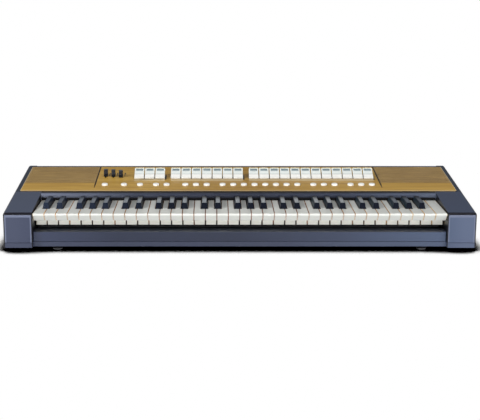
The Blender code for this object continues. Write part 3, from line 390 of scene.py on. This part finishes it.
# Painted shadow: a dark strip at the right of each bank of tabs.
TAB_SHADOW_PLACE = (0.084, 0.119)
TAB_SHADOW_WIDTH = 0.0035
GRAIN_TONES = [(0.40, (0.35, 0.185, 0.027)), (0.52, (0.52, 0.310, 0.056)), (0.65, (0.66, 0.430, 0.105))]


def on_panel(x, along, above):
    """World position of a point on the sloping panel."""
    return PANEL_ORIGIN + Matrix.Rotation(PANEL_TILT, 3, "X") @ Vector((x, along, above))


def up_slope(y, z, foot, tilt):
    """Distance up a face that rises from its foot at that tilt."""
    return (y - foot.y) * math.cos(tilt) + (z - foot.z) * math.sin(tilt)


veneer, start = new_finish("wood_veneer", {"Specular IOR Level": 0.3, "Coat Weight": 0.25,
                                           "Coat Roughness": 0.10})
vector = position(start)
x, y, z = parts(vector)
out = abs(x)
along = up_slope(y, z, PANEL_ORIGIN, PANEL_TILT)
above = (z - PANEL_ORIGIN.z) * math.cos(PANEL_TILT) - (y - PANEL_ORIGIN.y) * math.sin(PANEL_TILT)
grain = noise(stretched(vector, (7.0, 420.0, 420.0)), 1.0, 6.0, 0.62)
bands = noise(stretched(vector, (1.6, 55.0, 55.0)), 1.0, 3.0)
wood = grain.node("ValToRGB", {"stops": GRAIN_TONES}, {"Fac": grain * 0.65 + bands * 0.35})
# Painted shade: the slotted ends are painted darker and streaky, for the shade in their fine slots.
streaks = ramp(noise(stretched(vector, (22.0, 240.0, 240.0)), 1.0, 5.0, 0.75), 0.36, 0.64)
slot_shade = mixed(streaks, (0.400, 0.270, 0.110), (0.205, 0.130, 0.055))
wood = mixed((out > GROOVE_X) * (along > SOUND_LINE) * 0.80, wood, slot_shade)
# Painted shade: the panel is painted darker towards its middle.
wood = mixed(ramp(out, 0.05, 0.20, 0.45, 0.0), wood, (0.27, 0.13, 0.010))
# Painted highlight: a pale line along the panel's ends and front edge.
panel_edge_highlight = (out > PANEL_HALF - 0.0012) + (along < 0.0060) * 0.4
wood = mixed(panel_edge_highlight * 0.55, wood, (0.74, 0.66, 0.47))
# Painted reflection of the tabs in the veneer.
tab_reflection = ramp(along, *TAB_REFLECTION_PLACE, 0.0, 0.60) * (along < TAB_FRONT)
tab_shadow_rows = between(along, *TAB_SHADOW_PLACE)
groove = (abs(out - GROOVE_X) < GROOVE_HALF) * (along > GROOVE_START)
dark = (above < -CUT_DEPTH) + groove
for first, count in TAB_BANKS.values():
    right = LAST_TAB_X - first * TAB_PITCH + TAB_WIDTH / 2
    left = right - (count - 1) * TAB_PITCH - TAB_WIDTH
    wood = mixed(between(x, left, right) * tab_reflection, wood, (0.92, 0.86, 0.66))
    # Painted shadow of each bank of tabs, added to the dark walls and groove.
    dark = dark + between(x, right, right + TAB_SHADOW_WIDTH) * tab_shadow_rows
# Painted shadow of each slide control's cap.
wedge_half = ramp(along, *WEDGE_PLACE, *WEDGE_HALF)
for slider_x in SLIDERS.values():
    wedge = (abs(x - (slider_x + WEDGE_OFFSET)) < wedge_half) * between(along, *WEDGE_PLACE)
    wood = mixed(wedge, wood, CAP_SHADOW_TONE)
feed(veneer, "Base Color", mixed(dark > 0.5, wood, (0.022, 0.016, 0.010)))
feed(veneer, "Roughness", 0.34 + grain * 0.14)
feed(veneer, "Normal", bumped(grain, 0.08, 0.0002))
dress("wood_panel", veneer, 0.0005)

# The stop tabs: moulded white rocker tabs, each with a raised rim at its free end and a blue-grey
# inlay glued in the recess below it. Each bank turns on one shaft under the panel.
TAB_TILT = math.radians(24)
TAB_RISE = 0.0015
CREASE = 0.0140
CREASE_HALF = 0.0007
RECESS = (0.0236, 0.0316)
RECESS_HALF = 0.0078
MIDDLE_BANK = (-0.155, 0.02)
INLAY_UP = 0.0291
INLAY_ABOVE = 0.0020
INLAY_SIZE = (TAB_WIDTH - 0.0056, 0.0044, 0.0008)


def on_tab(x, up, above):
    """World position of a point on a tab: up its face from the lower edge, and above its back."""
    return on_panel(x, TAB_FRONT + up * math.cos(TAB_TILT) - above * math.sin(TAB_TILT),
                    TAB_RISE + up * math.sin(TAB_TILT) + above * math.cos(TAB_TILT))


def add_plate(bm, centre, size, tilt, edge):
    """A plate with rounded edges, turned about X and set at its centre."""
    made = bmesh.ops.create_cube(bm, size=1.0)
    turn = Matrix.Translation(centre) @ Matrix.Rotation(tilt, 4, "X") @ Matrix.Diagonal((*size, 1))
    bmesh.ops.transform(bm, matrix=turn, verts=made["verts"])
    edges = list({line for vertex in made["verts"] for line in vertex.link_edges})
    bmesh.ops.bevel(bm, geom=edges, offset=edge, segments=2, profile=0.5, affect="EDGES")


def finished(bm, name, material, body):
    """Turn a bmesh into a smooth piece that rides on its body and takes its finish from a slot."""
    bmesh.ops.recalc_face_normals(bm, faces=bm.faces)
    mesh = bpy.data.meshes.new(name)
    bm.to_mesh(mesh)
    bm.free()
    mesh.materials.append(material)
    mesh.shade_smooth()
    mesh.set_sharp_from_angle(angle=math.radians(40))
    piece = bpy.data.objects.new(name, mesh)
    bpy.context.scene.collection.objects.link(piece)
    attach(piece, body)
    return piece


def speckled(name, constants, scale, dark, light, detail=2.0):
    """A finish whose colour drifts between two near tones."""
    material, start = new_finish(name, constants)
    feed(material, "Base Color", mixed(noise(position(start), scale, detail), dark, light))
    return material


tab_plastic, start = new_finish("tab_plastic", {"Specular IOR Level": 0.5, "Roughness": 0.20})
vector = position(start)
x, y, z = parts(vector)
up = up_slope(y, z, on_tab(0, 0, 0), PANEL_TILT + TAB_TILT)
drift = noise(vector, 40.0)
# Painted shade: the face above the crease is painted greyer than the face below it.
shaded_upper_face = mixed(drift, (0.68, 0.72, 0.70), (0.72, 0.76, 0.74))
lower_face = mixed(drift, (0.82, 0.82, 0.78), (0.86, 0.86, 0.83))
face = mixed(up > CREASE, lower_face, shaded_upper_face)
# Painted shade: a dark line along the crease.
face = mixed(abs(up - CREASE) < CREASE_HALF, face, (0.42, 0.44, 0.43))
tabs_from_last = (x - LAST_TAB_X) * (1 / TAB_PITCH) + between(x, *MIDDLE_BANK) * 0.5
off_centre = x.math("PINGPONG", tabs_from_last, 0.5) * TAB_PITCH
# The recess floor round the inlay is painted blue-grey: partly the inlay's colour, partly painted shade.
face = mixed(between(up, *RECESS) * (off_centre < RECESS_HALF), face, (0.36, 0.42, 0.43))
face = mixed(up > RECESS[1], face, (0.74, 0.73, 0.60))
# Painted shade: the tabs' sides are painted dark.
shaded_side = abs(part(facing(start), "X")) > 0.8
feed(tab_plastic, "Base Color", mixed(shaded_side, face, (0.13, 0.13, 0.12)))
inlay = speckled("inlay_plastic", {"Specular IOR Level": 0.4, "Roughness": 0.32}, 90.0,
                 (0.16, 0.22, 0.25), (0.20, 0.26, 0.29))
for bank, (first, count) in TAB_BANKS.items():
    dress(bank, tab_plastic, 0.0004)
    inlays = bmesh.new()
    for tab in range(count):
        tab_x = LAST_TAB_X - (first + tab) * TAB_PITCH
        add_plate(inlays, on_tab(tab_x, INLAY_UP, INLAY_ABOVE), INLAY_SIZE, PANEL_TILT + TAB_TILT, 0.0002)
    finished(inlays, bank + "_inlays", inlay, bank)

# The pistons: round white preset buttons with a softened rim, moulded on two carrier strips that
# press down through the panel against their springs.
PISTON_ROW = 0.0445
PISTON_PITCH = 0.02342
LAST_PISTON_X = PANEL_HALF - 0.1778
PISTON_PLACES = {
    "piston_strip_right": (0, 1, 2, 3.5, 4.5, 5.5, 7, 8, 9, 10, 11, 12, 13, 14),
    "piston_strip_left": (15.5, 16.5, 17.5, 19.25, 20.25, 21.75, 23.25, 25.05),
}
BUTTON_OUTLINE = ((0, -0.0055), (0.0067, -0.0055), (0.0067, 0.0022), (0.0065, 0.0026), (0.0061, 0.0029),
                  (0.0055, 0.0030), (0.0045, 0.0029), (0.0, 0.0028))
CARRIER_WIDTH = 0.020
CARRIER_THICKNESS = 0.003
CARRIER_BELOW = 0.00575


def turned(bm, outline, sides, place):
    """A body of revolution: (radius, height) points turned about Z, then moved by a matrix."""
    rings = []
    for radius, height in outline:
        count = sides if radius else 1
        angles = [math.tau * step / sides for step in range(count)]
        rings.append([bm.verts.new(place @ Vector((radius * math.cos(angle), radius * math.sin(angle),
                                                   height))) for angle in angles])
    for lower, upper in zip(rings, rings[1:]):
        for step in range(sides):
            corners = [lower[step % len(lower)], lower[(step + 1) % len(lower)],
                       upper[(step + 1) % len(upper)], upper[step % len(upper)]]
            corners = list(dict.fromkeys(corners))
            if len(corners) > 2:
                bm.faces.new(corners)


button = speckled("button_plastic", {"Specular IOR Level": 0.5, "Roughness": 0.22}, 60.0,
                  (0.93, 0.93, 0.88), (0.96, 0.96, 0.92))
for strip, places in PISTON_PLACES.items():
    xs = [LAST_PISTON_X - place * PISTON_PITCH for place in places]
    carrier_size = (xs[0] - xs[-1] + CARRIER_WIDTH, CARRIER_WIDTH, CARRIER_THICKNESS)
    buttons = bmesh.new()
    add_plate(buttons, on_panel((xs[0] + xs[-1]) / 2, PISTON_ROW, -CARRIER_BELOW), carrier_size,
              PANEL_TILT, 0.0004)
    for button_x in xs:
        upright = (Matrix.Translation(on_panel(button_x, PISTON_ROW, 0))
                   @ Matrix.Rotation(PANEL_TILT, 4, "X"))
        turned(buttons, BUTTON_OUTLINE, 32, upright)
    piece = finished(buttons, strip + "_buttons", button, strip)
    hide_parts(strip)

# The slide controls: moulded black caps with gripping ribs across both slopes, each on a flat stem
# that runs in a slot and carries the wiper of its potentiometer.
SLIDER_PLACES = (0.1145, 0.1120, 0.1070)
CAP_HEIGHT = 0.015
CAP_WIDTH = 0.0085
CAP_FOOT = [(0.008, 0.0005), (0.006, 0.0047)]
CAP_CREST = [(0.004, CAP_HEIGHT)]
CAP_LEAN = 0.22
RIBS = 7
FIRST_RIB = 0.0055
RIB_PITCH = 0.0013
RIB_RAISE = 0.0004
RIB_FLAT = 0.0006
RIB_END = 0.0009
jet, start = new_finish("cap_jet", {"Specular IOR Level": 0.2})
grip = noise(position(start), 500.0)
black = mixed(grip, (0.003, 0.003, 0.004), (0.007, 0.007, 0.008))
# Painted highlight: the upward-facing facets of the ribs are painted lighter grey.
feed(jet, "Base Color", mixed(part(facing(start), "Z") > 0.5, black, (0.075, 0.080, 0.098)))
feed(jet, "Roughness", 0.30 + grip * 0.15)
slope = list(CAP_FOOT)
shoulder_reach, shoulder_height = CAP_FOOT[-1]
for rib in range(RIBS):
    height = FIRST_RIB + rib * RIB_PITCH
    reach = shoulder_reach - (height - shoulder_height) * CAP_LEAN
    slope += [(reach + RIB_RAISE, height), (reach + RIB_RAISE, height + RIB_FLAT), (reach, height + RIB_END)]
slope += CAP_CREST
outline = slope + [(-back, height) for back, height in reversed(slope)]
for (name, x), along in zip(SLIDERS.items(), SLIDER_PLACES):
    cap = bmesh.new()
    base = [cap.verts.new(on_panel(x - CAP_WIDTH / 2, along + back, height)) for back, height in outline]
    grown = bmesh.ops.extrude_face_region(cap, geom=[cap.faces.new(base)])["geom"]
    bmesh.ops.translate(cap, verts=[item for item in grown if isinstance(item, bmesh.types.BMVert)],
                        vec=(CAP_WIDTH, 0, 0))
    add_plate(cap, on_panel(x, along, -0.002), (0.0024, 0.006, 0.007), PANEL_TILT, 0.0002)
    add_plate(cap, on_panel(x, along, -0.006), (0.012, 0.016, 0.005), PANEL_TILT, 0.0005)
    piece = finished(cap, name + "_cap", jet, name)
    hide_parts(name)

# The loudspeakers and the main board under the panel: pressed baskets with black paper cones, and a
# green board with black sockets and chips, its jacks and inlet reaching the back wall.
BOARD_FACE = 0.0262
METAL_FROM = 0.1585
cone = speckled("speaker_black", {"Roughness": 0.75}, 200.0, (0.018, 0.018, 0.018),
                (0.035, 0.035, 0.036), 4.0)
dress("left_speaker", cone)
dress("right_speaker", cone)
mask, start = new_finish("circuit_board", {"Roughness": 0.4})
vector = position(start)
on_parts = part(vector, "Z") > BOARD_FACE
metal_end = part(vector, "Y") > METAL_FROM
board_tone = mixed(noise(vector, 90.0, 3.0), (0.02, 0.10, 0.045), (0.03, 0.16, 0.07))
part_tone = mixed(metal_end, (0.015, 0.015, 0.016), (0.50, 0.50, 0.50))
feed(mask, "Base Color", mixed(on_parts, board_tone, part_tone))
feed(mask, "Metallic", on_parts * metal_end)
dress("main_board", mask)

# The sockets in the back wall: three nickel ring nuts on the jacks' barrels, and a moulded bezel
# round the power inlet with its three pins.
WALL_FACE = 0.172
SOCKET_Z = 0.0295
JACK_XS = (-0.190, -0.150, -0.110)
NUT_OUTLINE = ((0.0047, 0), (0.0082, 0), (0.0082, 0.0006), (0.0070, 0.0009), (0.0068, 0.0021),
               (0.0062, 0.0024), (0.0053, 0.0024), (0.0047, 0.0019), (0.0047, 0))
INLET_X = 0.180
BEZEL_THICKNESS = 0.0016
BEZEL_BAR = 0.003
PIN_PLACES = ((-0.0055, -0.001), (0, 0.0018), (0.0055, -0.001))
BACKWARDS = Matrix.Rotation(-math.pi / 2, 4, "X")
nuts = bmesh.new()
for x in JACK_XS:
    turned(nuts, NUT_OUTLINE, 28, Matrix.Translation((x, WALL_FACE, SOCKET_Z)) @ BACKWARDS)
finished(nuts, "jack_nuts", zinc, "case")
socket_black = speckled("socket_black", {"Roughness": 0.45}, 150.0, (0.020, 0.020, 0.021),
                        (0.030, 0.030, 0.032))
bezel = bmesh.new()
bezel_y = WALL_FACE + BEZEL_THICKNESS / 2
for aside in (-0.0115, 0.0115):
    add_plate(bezel, (INLET_X + aside, bezel_y, SOCKET_Z), (BEZEL_BAR, BEZEL_THICKNESS, 0.018), 0, 0.0004)
for rise in (-0.0075, 0.0075):
    add_plate(bezel, (INLET_X, bezel_y, SOCKET_Z + rise), (0.026, BEZEL_THICKNESS, BEZEL_BAR), 0, 0.0004)
finished(bezel, "inlet_bezel", socket_black, "case")
pins = bmesh.new()
for aside, rise in PIN_PLACES:
    add_plate(pins, (INLET_X + aside, 0.1635, SOCKET_Z + rise), (0.0016, 0.011, 0.0036), 0, 0.0003)
finished(pins, "inlet_pins", zinc, "case")

# Zinc-plated pan-head screws hold the base board to the cheeks and the rail from below, with a blind
# recess for the driver in each head.
SCREW_XS = (-0.455, -0.200, 0.0, 0.200, 0.455)
SCREW_YS = (-0.155, 0.155)
SCREW_HEAD = ((0, 0), (0.0042, 0), (0.0042, 0.0006), (0.0036, 0.0014), (0.0022, 0.0019), (0.0012, 0.0019),
              (0.0010, 0.0012), (0, 0.0012))
screws = bmesh.new()
for x in SCREW_XS:
    for y in SCREW_YS:
        facing_down = Matrix.Translation((x, y, BOARD_BOTTOM)) @ Matrix.Rotation(math.pi, 4, "X")
        turned(screws, SCREW_HEAD, 20, facing_down)
finished(screws, "base_screws", zinc, "case")

# A black felt strip is glued along the foot of the fallboard. It closes the gap above the keys and
# quiets them where they come up. Its black is partly the felt's own and partly painted shade, for
# the deep shade under the fallboard's nose.
FELT_PLACE = (0, -0.0456, 0.0833)
FELT_SIZE = (2 * CHEEK_INNER - 0.004, 0.0012, 0.0056)
felt_and_shade, start = new_finish("black_felt_and_shade", {"Specular IOR Level": 0.1, "Roughness": 0.95})
nap = noise(position(start), 1400.0, 3.0)
feed(felt_and_shade, "Base Color", mixed(nap, (0.006, 0.006, 0.007), (0.018, 0.018, 0.020)))
feed(felt_and_shade, "Normal", bumped(nap, 0.4, 0.0004))
felt_strip = bmesh.new()
add_plate(felt_strip, FELT_PLACE, FELT_SIZE, 0, 0.0003)
finished(felt_strip, "fallboard_felt_and_shade", felt_and_shade, "case")

# The studio: a wide white floor that shows the organ's shadow close round it, and a dim even
# surround that is white where it is seen.
FLOOR_REACH = 60.0
SHADOW_REACH = 0.055
SHADOW_FADE = (0.670, 0.815)


def ray(shade, kind):
    """One for rays of that kind, and zero for all others."""
    return shade.node("LightPath", output="Is %s Ray" % kind)


floor_mesh = bpy.data.meshes.new("studio_floor")
corners = [(-1, -1), (1, -1), (1, 1), (-1, 1)]
floor_mesh.from_pydata([(FLOOR_REACH * x, FLOOR_REACH * y, 0) for x, y in corners], [], [(0, 1, 2, 3)])
floor = bpy.data.objects.new("studio_floor", floor_mesh)
bpy.context.scene.collection.objects.link(floor)
floor_finish, start = new_finish("floor_paper", {"Roughness": 0.9, "Specular IOR Level": 0.1,
                                                 "Base Color": (0.93, 0.93, 0.93, 1)})
seen = ray(start, "Camera") + ray(start, "Glossy") + ray(start, "Transmission")
open_sky = start.node("AmbientOcclusion", {"samples": 16}, {"Distance": SHADOW_REACH}, output="AO")
glow = start.node("Emission", inputs={"Color": (1, 1, 1, 1), "Strength": ramp(open_sky, *SHADOW_FADE)})
paper = Shade(floor_finish.node_tree, floor_finish.node_tree.nodes["Principled BSDF"].outputs[0])
both = start.node("MixShader", inputs={0: seen, 1: paper, 2: glow})
output = floor_finish.node_tree.nodes["Material Output"]
floor_finish.node_tree.links.new(both.socket, output.inputs["Surface"])
floor_mesh.materials.append(floor_finish)

world = bpy.data.worlds.new("studio")
world.use_nodes = True
bpy.context.scene.world = world
start = Shade(world.node_tree)
background = world.node_tree.nodes["Background"]
level = 0.13 + ray(start, "Camera") * 0.87 + (ray(start, "Glossy") + ray(start, "Transmission")) * 0.05
world.node_tree.links.new(level.socket, background.inputs["Strength"])
background.inputs["Color"].default_value = (1, 1, 1, 1)


def softbox(name, centre, target, width, height, power):
    lamp = bpy.data.lights.new(name, "AREA")
    lamp.shape = "RECTANGLE"
    lamp.size = width
    lamp.size_y = height
    lamp.energy = power
    thing = bpy.data.objects.new(name, lamp)
    bpy.context.scene.collection.objects.link(thing)
    thing.location = centre
    thing.rotation_euler = (Vector(target) - Vector(centre)).to_track_quat("-Z", "Y").to_euler()


softbox("key_softbox", (-3.2, -2.1, 2.5), (0, 0, 0.08), 1.1, 1.1, 120.0)
softbox("top_softbox", (0.5, -1.1, 2.5), (0.05, 0, 0.08), 1.6, 1.0, 24.0)
softbox("right_softbox", (1.9, -1.9, 0.9), (0.1, 0, 0.06), 0.9, 1.1, 16.0)
softbox("low_softbox", (0.0, -3.0, 0.26), (0, 0, 0.05), 2.6, 0.36, 34.0)

# The camera stands in front of the keyboard, a little left of its middle, and looks down on it.
CAMERA_PLACE = (-0.0551, -2.4589, 0.5946)
CAMERA_PITCH = 12.52
camera_data = bpy.data.cameras.new("camera")
camera_data.lens = 86.23
camera_data.sensor_width = 36.0
camera_data.shift_x = 0.0565
camera = bpy.data.objects.new("camera", camera_data)
bpy.context.scene.collection.objects.link(camera)
camera.location = CAMERA_PLACE
camera.rotation_euler = (math.radians(90 - CAMERA_PITCH), 0, 0)
bpy.context.scene.camera = camera
bpy.context.scene.view_settings.view_transform = "Standard"
